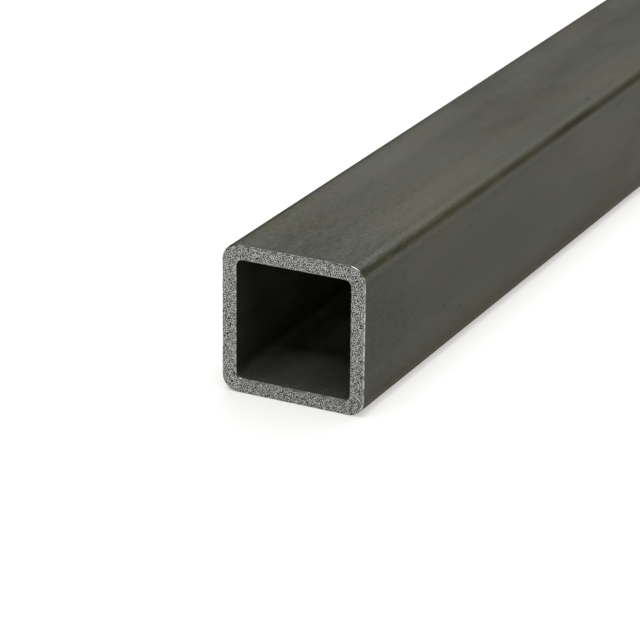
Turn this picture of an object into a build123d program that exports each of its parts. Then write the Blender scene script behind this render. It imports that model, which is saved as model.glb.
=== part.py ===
from build123d import *
import os

# Square steel tube: one rolled length, sawn square at both ends. Millimetres.
# It lies along X on one of its four flats, with +Z up. The origin is at mid-length,
# under the centre line, on the surface that the tube lies on.

section_width = 40.0        # over the flats, the same both ways
wall_thickness = 4.0        # all four sides
outer_corner_radius = 4.4   # rolled corner, outside
inner_corner_radius = 1.6   # rolled corner, inside: tighter than the outside
tube_length = 1000.0        # sawn length
edge_break = 0.25           # saw burr taken off, round the outside and the hole

os.makedirs("parts", exist_ok=True)

hollow_width = section_width - 2 * wall_thickness

# The section stands on the sawn plane at the -X end, centred half a width above the floor.
sawn_plane = Plane(
    origin=(-tube_length / 2, 0, section_width / 2),
    x_dir=(0, 1, 0),
    z_dir=(1, 0, 0),
)

with BuildPart() as square_tube:
    with BuildSketch(sawn_plane) as wall_section:
        RectangleRounded(section_width, section_width, outer_corner_radius)
        RectangleRounded(
            hollow_width, hollow_width, inner_corner_radius, mode=Mode.SUBTRACT
        )
    extrude(amount=tube_length)

    # Both rims of both sawn ends: the outer edge and the edge of the hole.
    sawn_ends = square_tube.faces().filter_by(Axis.X)
    chamfer(sawn_ends.edges(), length=edge_break)

square_tube.part.label = "square_tube"
export_step(square_tube.part, "parts/square_tube.step")

print(f"hollow {hollow_width:.1f} mm square, steel volume {square_tube.part.volume:.0f} mm3")
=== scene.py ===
import math

import bpy
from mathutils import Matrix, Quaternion, Vector, noise


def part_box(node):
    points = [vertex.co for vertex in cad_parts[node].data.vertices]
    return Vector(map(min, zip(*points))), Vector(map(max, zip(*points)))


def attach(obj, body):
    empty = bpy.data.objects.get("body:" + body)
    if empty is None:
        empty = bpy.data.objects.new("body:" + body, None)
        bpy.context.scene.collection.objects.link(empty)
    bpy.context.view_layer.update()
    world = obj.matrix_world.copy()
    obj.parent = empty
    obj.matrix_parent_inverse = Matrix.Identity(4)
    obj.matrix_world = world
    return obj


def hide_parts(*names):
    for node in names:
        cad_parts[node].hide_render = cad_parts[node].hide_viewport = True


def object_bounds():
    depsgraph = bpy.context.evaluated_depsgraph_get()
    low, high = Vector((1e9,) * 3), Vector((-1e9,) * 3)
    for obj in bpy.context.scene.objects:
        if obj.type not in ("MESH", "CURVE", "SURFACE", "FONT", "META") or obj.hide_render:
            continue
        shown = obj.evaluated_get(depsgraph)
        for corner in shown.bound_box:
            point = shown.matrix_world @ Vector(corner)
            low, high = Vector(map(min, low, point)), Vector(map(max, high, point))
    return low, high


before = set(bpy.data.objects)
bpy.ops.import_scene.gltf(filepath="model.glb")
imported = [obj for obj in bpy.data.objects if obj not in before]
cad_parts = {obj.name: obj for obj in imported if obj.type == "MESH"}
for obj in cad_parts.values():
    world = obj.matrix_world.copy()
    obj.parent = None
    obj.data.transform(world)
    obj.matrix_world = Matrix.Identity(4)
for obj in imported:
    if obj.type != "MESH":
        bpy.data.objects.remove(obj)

cadLow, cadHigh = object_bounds()
halfLength = round((cadHigh.x - cadLow.x) / 2, 6)
halfWidth = round((cadHigh.y - cadLow.y) / 2, 6)
print("frame loaded, tube box", [round(side, 4) for side in cadHigh - cadLow])


# small helpers for the node trees

def freshMaterial(name):
    material = bpy.data.materials.new(name)
    material.use_nodes = True
    material.node_tree.nodes.clear()
    return material


def addNode(tree, kind, **settings):
    node = tree.nodes.new("ShaderNode" + kind)
    for setting, value in settings.items():
        setattr(node, setting, value)
    return node


def plug(tree, socket, value):
    # a socket is linked, anything else is typed in
    if isinstance(value, bpy.types.NodeSocket):
        tree.links.new(value, socket)
    else:
        socket.default_value = value


def maths(tree, operation, *values):
    node = addNode(tree, "Math", operation=operation)
    for socket, value in zip(node.inputs, values):
        plug(tree, socket, value)
    return node.outputs[0]


def layered(tree, *layers):
    # clouds and marks added up round a middle of 0.5; each comes with how strongly it shows
    total = 0.5 - 0.5 * sum(strength for _, strength in layers)
    for layer, strength in layers:
        total = maths(tree, "MULTIPLY_ADD", layer, strength, total)
    return total


def remap(tree, value, fromLow, fromHigh, toLow=0.0, toHigh=1.0, soft=True):
    node = addNode(tree, "MapRange", interpolation_type="SMOOTHSTEP" if soft else "LINEAR")
    plug(tree, node.inputs["Value"], value)
    limits = {"From Min": fromLow, "From Max": fromHigh, "To Min": toLow, "To Max": toHigh}
    for name, number in limits.items():
        node.inputs[name].default_value = number
    return node.outputs["Result"]


def axesOf(tree, place):
    node = addNode(tree, "SeparateXYZ")
    tree.links.new(place, node.inputs[0])
    return node.outputs


def towardsEnds(tree, axes, begins, full, away=0.0, atEnd=1.0):
    # changes from away to atEnd near both ends; begins and full are metres from the nearer end
    along = maths(tree, "ABSOLUTE", axes["X"])
    return remap(tree, along, halfLength - begins, halfLength - full, away, atEnd)


cloudSpread = (0.3, 0.7)        # nearly all values of a cloud lie between these
cloudSlide = (1.0, 1.7, 0.6)    # the way that an offset slides a cloud, so that no two line up


def cloud(tree, place, stretch, detail, rough, offset, output="Fac"):
    # soft noise over the tube's own metres; stretch is how many blobs there are to a metre each way
    mapping = addNode(tree, "Mapping")
    mapping.inputs["Scale"].default_value = stretch
    mapping.inputs["Location"].default_value = [offset * slide for slide in cloudSlide]
    tree.links.new(place, mapping.inputs["Vector"])
    node = addNode(tree, "TexNoise")
    node.inputs["Scale"].default_value = 1.0
    node.inputs["Detail"].default_value = detail
    node.inputs["Roughness"].default_value = rough
    tree.links.new(mapping.outputs["Vector"], node.inputs["Vector"])
    return node.outputs[output]


def makeClouds(tree, place, clouds):
    return {name: cloud(tree, place, *settings) for name, settings in clouds.items()}


# the Mix node's socket 0 is the share, 2 and 3 are for values, 6 and 7 for colours

def blendColours(tree, share, first, second, how="MIX"):
    node = addNode(tree, "Mix", data_type="RGBA", blend_type=how)
    plug(tree, node.inputs[0], share)
    for socket, colour in ((node.inputs[6], first), (node.inputs[7], second)):
        linked = isinstance(colour, bpy.types.NodeSocket)
        plug(tree, socket, colour if linked else (*colour, 1.0))
    return node.outputs[2]


def blendValues(tree, share, first, second):
    node = addNode(tree, "Mix", data_type="FLOAT")
    for socket, value in ((node.inputs[0], share), (node.inputs[2], first), (node.inputs[3], second)):
        plug(tree, socket, value)
    return node.outputs[0]


def marksAlong(tree, value, stops):
    # pale and dark lines laid down by a value from 0 to 1; a stop's 0.5 means no change
    node = addNode(tree, "ValToRGB")
    node.color_ramp.interpolation = "EASE"
    ramp = node.color_ramp.elements
    ramp.remove(ramp[1])
    for number, (at, level) in enumerate(stops):
        stop = ramp.new(at) if number else ramp[0]
        stop.position = at
        stop.color = (level, level, level, 1)
    tree.links.new(value, node.inputs[0])
    return node.outputs["Color"]


def addBump(tree, height, strength, distance, onTopOf=None):
    node = addNode(tree, "Bump")
    node.inputs["Strength"].default_value = strength
    node.inputs["Distance"].default_value = distance
    tree.links.new(height, node.inputs["Height"])
    if onTopOf is not None:
        tree.links.new(onTopOf, node.inputs["Normal"])
    return node.outputs["Normal"]


def finishShader(tree, colour, roughness, normal, **fixed):
    shader = addNode(tree, "BsdfPrincipled")
    for name, value in fixed.items():
        shader.inputs[name.replace("_", " ")].default_value = value
    plug(tree, shader.inputs["Base Color"], colour)
    plug(tree, shader.inputs["Roughness"], roughness)
    tree.links.new(normal, shader.inputs["Normal"])
    output = addNode(tree, "OutputMaterial")
    tree.links.new(shader.outputs[0], output.inputs["Surface"])


# the tube: four flats and four rolled corners outside and in, and two sawn ends

tube = {
    "wall": 0.004,           # thickness of the four sides
    "outerCorner": 0.0044,   # outside corner radius
    "innerCorner": 0.0016,   # inside corner radius
    "edgeBreak": 0.00025,    # burr taken off round both rims
    "cornerSteps": 24,       # faces round each corner
    "flatSteps": 130,        # faces across each flat
    "sawnRows": 16,          # faces across the sawn wall
    "wallRows": 8,           # faces along the length
    "gritDepth": 0.00005,    # relief of the sawn ends
    "gritSize": 0.0007,
    "gritContrast": 1.4,     # above 1, more of the grit is at its full depth or height
    "nearGrit": 0.0,         # seeds, so that the two ends differ
    "farGrit": 5.0,
}

# places of the four finishes in the tube's list of materials
millSlot, hollowSlot, sawnSlot, edgeSlot = range(4)


def roundedSquare(half, radius, middleZ):
    straight = half - radius
    points = []
    for quarter in range(4):
        side = []
        for step in range(tube["flatSteps"]):
            side.append((-straight + 2 * straight * step / tube["flatSteps"], -half))
        for step in range(tube["cornerSteps"]):
            angle = math.pi / 2 * step / tube["cornerSteps"]
            side.append((straight + radius * math.sin(angle), -straight - radius * math.cos(angle)))
        turn = quarter * math.pi / 2
        for across, down in side:
            y = across * math.cos(turn) - down * math.sin(turn)
            z = across * math.sin(turn) + down * math.cos(turn)
            points.append((y, middleZ + z))
    return points


def sawnGrit(y, z, seed):
    # how far the saw bit below the highest point of the end, always inwards
    place = Vector((y, z, seed)) / tube["gritSize"]
    bite = max(-1.0, min(1.0, tube["gritContrast"] * noise.noise(place)))
    return tube["gritDepth"] * (0.5 + 0.5 * bite)


# how the tube is unrolled for a baked map: full-width strips, one above the other

bakeLayout = {
    "mapSize": 1024,      # the heights below are in pixels of a map of this size
    "gap": 6,
    "wallStrip": 305,     # the outside wall is cut at mid-length into two of these
    "hollowStrip": 250,
    "sawnStrip": 34,      # each sawn end, unrolled round its ring
    "rimStrip": 4,        # each broken edge
}


def unrollTube(mesh, count):
    walls = tube["wallRows"]
    sawn = tube["sawnRows"]
    strips = [  # rows of faces, height, whether the row runs along the tube
        (walls // 2, bakeLayout["wallStrip"], True),
        (walls - walls // 2, bakeLayout["wallStrip"], True),
        (1, bakeLayout["rimStrip"], False),
        (sawn, bakeLayout["sawnStrip"], False),
        (1, bakeLayout["rimStrip"], False),
        (walls, bakeLayout["hollowStrip"], True),
        (1, bakeLayout["rimStrip"], False),
        (sawn, bakeLayout["sawnStrip"], False),
        (1, bakeLayout["rimStrip"], False),
    ]
    size = bakeLayout["mapSize"]
    margin = bakeLayout["gap"] / size
    width = 1 - 2 * margin
    low = margin
    places = []
    for rows, pixels, alongTube in strips:
        height = pixels / size
        for row in range(rows):
            for column in range(count):
                for rowEnd, columnEnd in ((0, 0), (0, 1), (1, 1), (1, 0)):
                    down = (row + rowEnd) / rows
                    around = (column + columnEnd) / count
                    if alongTube:
                        places += (margin + width * down, low + height * around)
                    else:
                        places += (margin + width * around, low + height * down)
        low += height + margin
    layer = mesh.uv_layers.new(name="OFBake")
    layer.data.foreach_set("uv", places)


def buildTube():
    low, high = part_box("square_tube")
    half = (high.y - low.y) / 2
    middleZ = (low.z + high.z) / 2
    cut = tube["edgeBreak"]
    outer = roundedSquare(half, tube["outerCorner"], middleZ)
    outerRim = roundedSquare(half - cut, tube["outerCorner"] - cut, middleZ)
    inner = roundedSquare(half - tube["wall"], tube["innerCorner"], middleZ)
    innerRim = roundedSquare(half - tube["wall"] + cut, tube["innerCorner"] + cut, middleZ)
    rings = []
    finishes = []    # of the band of faces that follows each ring

    def addWall(outline, stations, finish):
        for x in stations:
            rings.append([(x, y, z) for y, z in outline])
            finishes.append(finish)
        finishes[-1] = edgeSlot    # what follows the last ring is a broken edge

    def addSawnEnd(x, inward, seed, first, last):
        rows = tube["sawnRows"]
        for row in range(rows + 1):
            share = row / rows
            ring = []
            for (y0, z0), (y1, z1) in zip(first, last):
                y = y0 + (y1 - y0) * share
                z = z0 + (z1 - z0) * share
                depth = sawnGrit(y, z, seed) if 0 < row < rows else 0.0
                ring.append((x + inward * depth, y, z))
            rings.append(ring)
            finishes.append(sawnSlot)
        finishes[-1] = edgeSlot

    start = low.x + cut
    reach = high.x - low.x - 2 * cut
    stations = [start + reach * row / tube["wallRows"] for row in range(tube["wallRows"] + 1)]
    # outside to the far end, and back through the hollow to the near end
    addWall(outer, stations, millSlot)
    addSawnEnd(high.x, -1, tube["farGrit"], outerRim, innerRim)
    addWall(inner, stations[::-1], hollowSlot)
    addSawnEnd(low.x, 1, tube["nearGrit"], innerRim, outerRim)

    count = len(outer)
    vertices = [point for ring in rings for point in ring]
    faces = []
    faceFinishes = []
    for ring in range(len(rings)):
        following = (ring + 1) % len(rings)
        for column in range(count):
            beside = (column + 1) % count
            near = ring * count
            far = following * count
            faces.append((near + column, near + beside, far + beside, far + column))
            faceFinishes.append(finishes[ring])
    mesh = bpy.data.meshes.new("steel_tube")
    mesh.from_pydata(vertices, [], faces)
    mesh.polygons.foreach_set("material_index", faceFinishes)
    mesh.validate()
    mesh.shade_smooth()
    unrollTube(mesh, count)
    piece = bpy.data.objects.new("steel_tube", mesh)
    bpy.context.scene.collection.objects.link(piece)
    return piece


# mill scale outside: dark olive grey, drawn out in streaks along the tube

millScale = {
    "dark": (0.0437, 0.0437, 0.0360),
    "light": (0.159, 0.159, 0.1355),
    "toneRange": (-0.25, 1.25),    # the tones that are dark and light
    # blobs to a metre along, across and up, then detail, roughness and offset
    "clouds": {
        "bands": ((9.0, 48.0, 48.0), 2.0, 0.5, 18.0),
        "streaks": ((14.0, 330.0, 330.0), 3.0, 0.6, 8.0),
        "patches": ((30.0, 90.0, 90.0), 3.0, 0.5, 5.0),
        "flecks": ((130.0, 330.0, 330.0), 3.0, 0.6, 11.0),
        "grain": ((520.0, 2400.0, 2400.0), 1.0, 0.6, 1.0),
        "rust": ((14.0, 40.0, 40.0), 4.0, 0.6, 14.0),
        "pits": ((200.0, 420.0, 420.0), 2.0, 0.6, 19.0),
    },
    "mottling": {"bands": 0.7, "streaks": 0.42, "patches": 0.9, "flecks": 0.25, "grain": 1.35},
    # how pale the scale is across a flat, from its middle (0) to its edge (1)
    "flatMarks": ((0.0, 0.40), (0.35, 0.42), (0.62, 0.59), (0.85, 0.63), (1.0, 0.54)),
    # round a corner: painted highlights and a painted dark reflection line, from the flat on top or
    # bottom (0) to the one at the side (1)
    "cornerReflections": ((0.0, 0.48), (0.14, 0.38), (0.25, 0.54), (0.35, 0.74), (0.44, 0.50), (0.54, 0.24),
                    (0.62, 0.12), (0.70, 0.50), (0.80, 0.88), (0.92, 0.74), (1.0, 0.57)),
    "reflectionDriftReach": (-0.5, -0.34),   # where along the tube the painted reflection lines drift round
    "reflectionDrift": (0.02, -0.04),        # and by how much of a corner
    "sideTurn": (0.7, 1.0),        # how far round the corner the calmer side begins, and is itself
    "sideCalm": 0.58,              # how much of the mottling a side flat loses
    "endShadeDarkening": 0.34,         # painted shade: how much darker the side flats are at the ends
    "fineFade": 0.76,              # how much of the fine marks is lost further in from the ends
    "fineReach": (0.08, 0.0),      # metres from an end where they begin to grow, and are full
    "darkReflectionTurn": 0.6,             # where round the corner its painted dark reflection line lies
    "darkReflectionReach": (0.24, 0.02),   # how far from that line its tint begins, and is full
    "darkReflectionTint": (1.02, 1.0, 0.76),
    "endReach": (0.045, 0.0),      # metres from an end where its tint begins, and is full
    "endTint": (1.0, 1.03, 1.06),
    "rustRange": (0.50, 0.64),
    "rustTint": (1.025, 0.988, 0.94),
    "floorShadeReach": (0.011, 0.004),    # heights where the painted shade near the floor begins, and is full
    "floorShadeTint": (0.92, 0.87, 0.815),
    "pitRange": (0.68, 0.74),
    "pitTint": (0.78, 0.78, 0.78),
    "shift": ((70.0, 200.0, 200.0), 5.0, 0.8, 17.0),    # a cloud of all colours
    "colourShift": 0.10,                                # how strongly it shows
    "bumps": {"patches": (0.3, 0.0002), "grain": (0.5, 0.00004)},    # strength, height in metres
    "roughness": (0.30, 0.52),
    "metal": 0.5,
    "sheen": 0.0,                  # no plain gloss over the metal
    "rimTint": (0.6, 0.6, 0.6),    # of what the metal mirrors at a glancing angle
}


def makeMillScale():
    material = freshMaterial("millScale")
    tree = material.node_tree
    place = addNode(tree, "TexCoord").outputs["Object"]
    axes = axesOf(tree, place)
    clouds = makeClouds(tree, place, millScale["clouds"])
    marks = {name: (clouds[name], strength) for name, strength in millScale["mottling"].items()}

    # the turn round a corner: 0 facing up or down, 1 facing sideways
    sideways = maths(tree, "ABSOLUTE", axes["Y"])
    upright = maths(tree, "ABSOLUTE", maths(tree, "SUBTRACT", axes["Z"], halfWidth))
    straight = halfWidth - tube["outerCorner"]
    out = maths(tree, "MAXIMUM", maths(tree, "SUBTRACT", sideways, straight), 0.0)
    over = maths(tree, "MAXIMUM", maths(tree, "SUBTRACT", upright, straight), 0.0)
    turn = maths(tree, "MULTIPLY", maths(tree, "ARCTAN2", out, over), 2 / math.pi)
    # painted highlights and a painted dark reflection line round each corner, shifting round near the
    # near end
    reflectionDrift = remap(tree, axes["X"], *millScale["reflectionDriftReach"], *millScale["reflectionDrift"])
    reflectionTurn = maths(tree, "ADD", turn, reflectionDrift)
    cornerReflections = marksAlong(tree, reflectionTurn, millScale["cornerReflections"])
    across = maths(tree, "DIVIDE", maths(tree, "MINIMUM", sideways, upright), straight)
    flatMarks = marksAlong(tree, across, millScale["flatMarks"])

    fine = layered(tree, marks["streaks"], marks["flecks"], marks["grain"])
    inwards = towardsEnds(tree, axes, *millScale["fineReach"], millScale["fineFade"], 0.0)
    fine = blendValues(tree, inwards, fine, 0.5)
    mottled = layered(tree, (flatMarks, 1.0), marks["bands"], marks["patches"], (fine, 1.0))

    # the two side flats are calmer, and darker towards the ends with painted shade
    endness = towardsEnds(tree, axes, *millScale["endReach"])
    endShaded = remap(tree, endness, 0.0, 1.0, 0.5, 0.5 - millScale["endShadeDarkening"])
    calm = remap(tree, turn, *millScale["sideTurn"], 0.0, millScale["sideCalm"])
    mottled = blendValues(tree, calm, mottled, endShaded)
    tone = layered(tree, (mottled, 1.0), (cornerReflections, 1.0))
    tone = remap(tree, tone, *millScale["toneRange"], soft=False)
    colour = blendColours(tree, tone, millScale["dark"], millScale["light"])

    # an olive tint along the painted dark reflection line
    fromDarkReflection = maths(tree, "ABSOLUTE", maths(tree, "SUBTRACT", reflectionTurn, millScale["darkReflectionTurn"]))
    tints = {
        "darkReflectionTint": remap(tree, fromDarkReflection, *millScale["darkReflectionReach"]),
        "endTint": endness,
        "rustTint": remap(tree, clouds["rust"], *millScale["rustRange"]),
        # painted shade, darker and warmer towards the floor
        "floorShadeTint": remap(tree, axes["Z"], *millScale["floorShadeReach"]),
        "pitTint": remap(tree, clouds["pits"], *millScale["pitRange"]),
    }
    for tint, share in tints.items():
        colour = blendColours(tree, share, colour, millScale[tint], "MULTIPLY")
    shift = cloud(tree, place, *millScale["shift"], output="Color")
    colour = blendColours(tree, millScale["colourShift"], colour, shift, "OVERLAY")

    roughness = remap(tree, clouds["patches"], *cloudSpread, *millScale["roughness"])
    normal = None
    for name, (strength, height) in millScale["bumps"].items():
        normal = addBump(tree, clouds[name], strength, height, normal)
    finishShader(tree, colour, roughness, normal, Metallic=millScale["metal"],
                 Specular_IOR_Level=millScale["sheen"], Specular_Tint=(*millScale["rimTint"], 1))
    return material


# inside of the hollow: the same scale in pale tones that paint light deep inside, dimmed just inside the
# mouths, with a pale layer on the bottom that is partly dust and partly painted light

hollowScale = {
    # pale tones: painted light, so that the walls deep inside show as lit
    "dark": (0.084, 0.086, 0.067),
    "light": (0.138, 0.138, 0.110),
    "toneRange": (0.35, 0.65),
    "clouds": {
        "streaks": ((8.0, 260.0, 260.0), 3.0, 0.55, 21.0),
        "patches": ((30.0, 60.0, 60.0), 4.0, 0.6, 25.0),
        "grain": ((1200.0, 2000.0, 2000.0), 2.0, 0.6, 28.0),
        "scuffs": ((500.0, 1500.0, 1500.0), 2.0, 0.6, 23.0),
    },
    "patchShare": 0.5,                    # of the tone; the streaks have the rest
    # a pale layer on the bottom: partly dust, partly painted light falling on the bottom
    "dustAndPaintedLight": (0.44, 0.44, 0.374),
    "dustAndLightHeights": (0.0075, 0.0042),      # heights where the pale layer begins, and is full
    "dustAndLightPatches": (0.4, 1.0),            # how full it is where it is thin and where it is thick
    "paintedLightMouthDimming": (0.125, 0.125, 0.119),   # dimmed just inside the two mouths, below the painted light of the pale walls further in
    "mouthReach": (0.05, 0.002),          # metres from an end where that begins, and is full
    "scuff": (0.14, 0.14, 0.135),         # fine scuffs on the bottom of each mouth
    "scuffReach": (0.016, 0.002),
    "scuffRange": (0.50, 0.62),
    "scuffStrength": 0.20,
    "bumps": {"streaks": (0.3, 0.00008), "grain": (0.5, 0.00004)},
    "roughness": (0.42, 0.56),
    "sheen": 0.35,
}


def makeHollowScale():
    material = freshMaterial("hollowScale")
    tree = material.node_tree
    place = addNode(tree, "TexCoord").outputs["Object"]
    axes = axesOf(tree, place)
    clouds = makeClouds(tree, place, hollowScale["clouds"])
    patches = clouds["patches"]
    tone = blendValues(tree, hollowScale["patchShare"], clouds["streaks"], patches)
    tone = remap(tree, tone, *hollowScale["toneRange"])
    colour = blendColours(tree, tone, hollowScale["dark"], hollowScale["light"])

    # pale layer on the bottom, partly dust and partly painted light
    low = remap(tree, axes["Z"], *hollowScale["dustAndLightHeights"])
    thickness = remap(tree, patches, *hollowScale["toneRange"], *hollowScale["dustAndLightPatches"])
    colour = blendColours(tree, maths(tree, "MULTIPLY", low, thickness), colour, hollowScale["dustAndPaintedLight"])
    # painted light: the walls stay pale deep inside and are dimmed towards the two mouths
    mouth = towardsEnds(tree, axes, *hollowScale["mouthReach"])
    colour = blendColours(tree, mouth, colour, hollowScale["paintedLightMouthDimming"], "MULTIPLY")
    scuffs = remap(tree, clouds["scuffs"], *hollowScale["scuffRange"], 0.0, hollowScale["scuffStrength"])
    lip = maths(tree, "MULTIPLY", low, towardsEnds(tree, axes, *hollowScale["scuffReach"]))
    colour = blendColours(tree, maths(tree, "MULTIPLY", scuffs, lip), colour, hollowScale["scuff"])

    normal = None
    for name, (strength, height) in hollowScale["bumps"].items():
        normal = addBump(tree, clouds[name], strength, height, normal)
    roughness = remap(tree, patches, *cloudSpread, *hollowScale["roughness"])
    finishShader(tree, colour, roughness, normal, Specular_IOR_Level=hollowScale["sheen"])
    return material


# sawn ends: bare steel torn by the saw teeth into an even speckle of flecks and pits

sawnSteel = {
    "pit": (0.02, 0.02, 0.018),
    "fleck": (0.53, 0.532, 0.51),
    "toneRange": (0.481, 0.571),
    "clouds": {
        "speckle": ((4000.0, 4000.0, 4000.0), 0.0, 0.5, 31.0),
        "coarse": ((900.0, 900.0, 900.0), 2.0, 0.5, 35.0),
    },
    "mixture": {"speckle": 0.95, "coarse": 0.3},
    "bump": (0.6, 0.00006),
    "roughness": (0.56, 0.34),    # pits, flecks
    "metal": 0.9,
}


def makeSawnSteel():
    material = freshMaterial("sawnSteel")
    tree = material.node_tree
    place = addNode(tree, "TexCoord").outputs["Object"]
    clouds = makeClouds(tree, place, sawnSteel["clouds"])
    mixed = layered(tree, *[(clouds[name], strength) for name, strength in sawnSteel["mixture"].items()])
    tone = remap(tree, mixed, *sawnSteel["toneRange"], soft=False)
    colour = blendColours(tree, tone, sawnSteel["pit"], sawnSteel["fleck"])
    normal = addBump(tree, mixed, *sawnSteel["bump"])
    roughness = remap(tree, clouds["speckle"], *cloudSpread, *sawnSteel["roughness"])
    finishShader(tree, colour, roughness, normal, Metallic=sawnSteel["metal"])
    return material


# the thin bright edge where the burr was taken off

brokenEdge = {
    "dull": (0.16, 0.16, 0.15),
    "bright": (0.54, 0.54, 0.52),
    "toneRange": (0.40, 0.62),
    "nicks": ((700.0, 700.0, 700.0), 3.0, 0.7, 41.0),
    "bump": (0.5, 0.00005),
    "roughness": (0.44, 0.34),    # dull, bright
    "metal": 0.9,
}


def makeBrokenEdge():
    material = freshMaterial("brokenEdge")
    tree = material.node_tree
    place = addNode(tree, "TexCoord").outputs["Object"]
    nicks = cloud(tree, place, *brokenEdge["nicks"])
    tone = remap(tree, nicks, *brokenEdge["toneRange"])
    colour = blendColours(tree, tone, brokenEdge["dull"], brokenEdge["bright"])
    normal = addBump(tree, nicks, *brokenEdge["bump"])
    roughness = remap(tree, nicks, *cloudSpread, *brokenEdge["roughness"])
    finishShader(tree, colour, roughness, normal, Metallic=brokenEdge["metal"])
    return material


steelTube = buildTube()
for finish in (makeMillScale(), makeHollowScale(), makeSawnSteel(), makeBrokenEdge()):
    steelTube.data.materials.append(finish)
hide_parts("square_tube")
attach(steelTube, "root")
print("tube built and finished,", len(steelTube.data.polygons), "faces")


# floor, room and softboxes

studio = {
    "floorSize": 60.0,
    "floorColour": (0.62, 0.62, 0.62),
    "backgroundLift": (0.515, 0.51, 0.50),    # clears the floor to white beyond the soft shadow
    "liftReach": (0.8, 3.0),                  # metres from the tube's middle between which the lift grows
    "farLift": 2.0,                           # and to how many times
    "roomLevel": 0.02,
    "horizonLevel": 0.46,
    "horizonTop": (0.105, 0.208),             # sines of the heights where it ends and the room begins
    "boxDistance": 3.0,
    # compass angle from +X, height angle, radius seen from the tube (degrees), brightness
    "softboxes": {
        "backSoftbox": (0.0, 55.0, 34.0, 1.42),
        "lowBackSoftbox": (15.0, 25.0, 24.0, 0.60),
        "topSoftbox": (190.0, 75.0, 24.0, 3.49),
        "rightSoftbox": (270.0, 15.0, 24.0, 0.76),
    },
}

nearEnd = Vector((cadLow.x, 0, cadHigh.z / 2))


def buildFloor():
    half = studio["floorSize"] / 2
    corners = [(-half, -half, 0), (half, -half, 0), (half, half, 0), (-half, half, 0)]
    mesh = bpy.data.meshes.new("floor")
    mesh.from_pydata(corners, [], [(0, 1, 2, 3)])
    floor = bpy.data.objects.new("floor", mesh)
    bpy.context.scene.collection.objects.link(floor)
    material = freshMaterial("paleFloor")
    tree = material.node_tree
    matt = addNode(tree, "BsdfDiffuse")
    matt.inputs["Color"].default_value = (*studio["floorColour"], 1)
    rays = addNode(tree, "LightPath")
    seen = maths(tree, "MAXIMUM", rays.outputs["Is Camera Ray"], rays.outputs["Is Glossy Ray"])
    seen = maths(tree, "MAXIMUM", seen, rays.outputs["Is Transmission Ray"])
    away = addNode(tree, "VectorMath", operation="LENGTH")
    tree.links.new(addNode(tree, "TexCoord").outputs["Object"], away.inputs[0])
    farLift = remap(tree, away.outputs["Value"], *studio["liftReach"], 1.0, studio["farLift"])
    glow = addNode(tree, "Emission")
    glow.inputs["Color"].default_value = (*studio["backgroundLift"], 1)
    plug(tree, glow.inputs["Strength"], maths(tree, "MULTIPLY", seen, farLift))
    both = addNode(tree, "AddShader")
    tree.links.new(matt.outputs[0], both.inputs[0])
    tree.links.new(glow.outputs[0], both.inputs[1])
    output = addNode(tree, "OutputMaterial")
    tree.links.new(both.outputs[0], output.inputs["Surface"])
    mesh.materials.append(material)


def buildRoom():
    # pale at the horizon and dim above; the camera itself sees plain white
    world = bpy.data.worlds.new("room")
    bpy.context.scene.world = world
    world.use_nodes = True
    tree = world.node_tree
    tree.nodes.clear()
    height = axesOf(tree, addNode(tree, "TexCoord").outputs["Generated"])["Z"]
    level = remap(tree, height, *studio["horizonTop"], studio["horizonLevel"], studio["roomLevel"])
    level = maths(tree, "MAXIMUM", level, addNode(tree, "LightPath").outputs["Is Camera Ray"])
    background = addNode(tree, "Background")
    tree.links.new(level, background.inputs["Strength"])
    output = addNode(tree, "OutputWorld")
    tree.links.new(background.outputs[0], output.inputs["Surface"])


def pointing(compass, height):
    # one metre along a compass angle from +X and a height angle, both in degrees
    turned = Quaternion((0, 0, 1), math.radians(compass))
    raised = Quaternion((0, -1, 0), math.radians(height))
    return turned @ raised @ Vector((1, 0, 0))


def addSoftbox(name, compass, height, spread, brightness):
    towards = pointing(compass, height)
    light = bpy.data.lights.new(name, "AREA")
    light.shape = "DISK"
    radius = studio["boxDistance"] * math.tan(math.radians(spread))
    light.size = 2 * radius
    light.energy = brightness * math.pi ** 2 * radius ** 2    # watts for this brightness at any size
    box = bpy.data.objects.new(name, light)
    box.location = nearEnd + studio["boxDistance"] * towards
    box.rotation_mode = "QUATERNION"
    box.rotation_quaternion = (-towards).to_track_quat("-Z", "Y")
    box.visible_camera = False
    bpy.context.scene.collection.objects.link(box)


buildFloor()
buildRoom()
for name, (compass, height, spread, brightness) in studio["softboxes"].items():
    addSoftbox(name, compass, height, spread, brightness)
print("floor, room and softboxes placed")

view = {
    "heading": 26.544,     # degrees from +X towards +Y
    "downTilt": 21.964,
    "roll": 0.632,
    "lens": 173.58,        # millimetres, as the sensor
    "sensor": 36,
    "fromNearEnd": (-0.63565, -0.32518, 0.29078),
}


def buildCamera():
    data = bpy.data.cameras.new("camera")
    data.lens = view["lens"]
    data.sensor_width = view["sensor"]
    camera = bpy.data.objects.new("camera", data)
    camera.location = nearEnd + Vector(view["fromNearEnd"])
    forward = pointing(view["heading"], -view["downTilt"])
    camera.rotation_mode = "QUATERNION"
    roll = Quaternion((0, 0, 1), math.radians(view["roll"]))
    camera.rotation_quaternion = forward.to_track_quat("-Z", "Y") @ roll
    bpy.context.scene.collection.objects.link(camera)
    bpy.context.scene.camera = camera


buildCamera()
bpy.context.scene.view_settings.view_transform = "Standard"
print("camera placed")
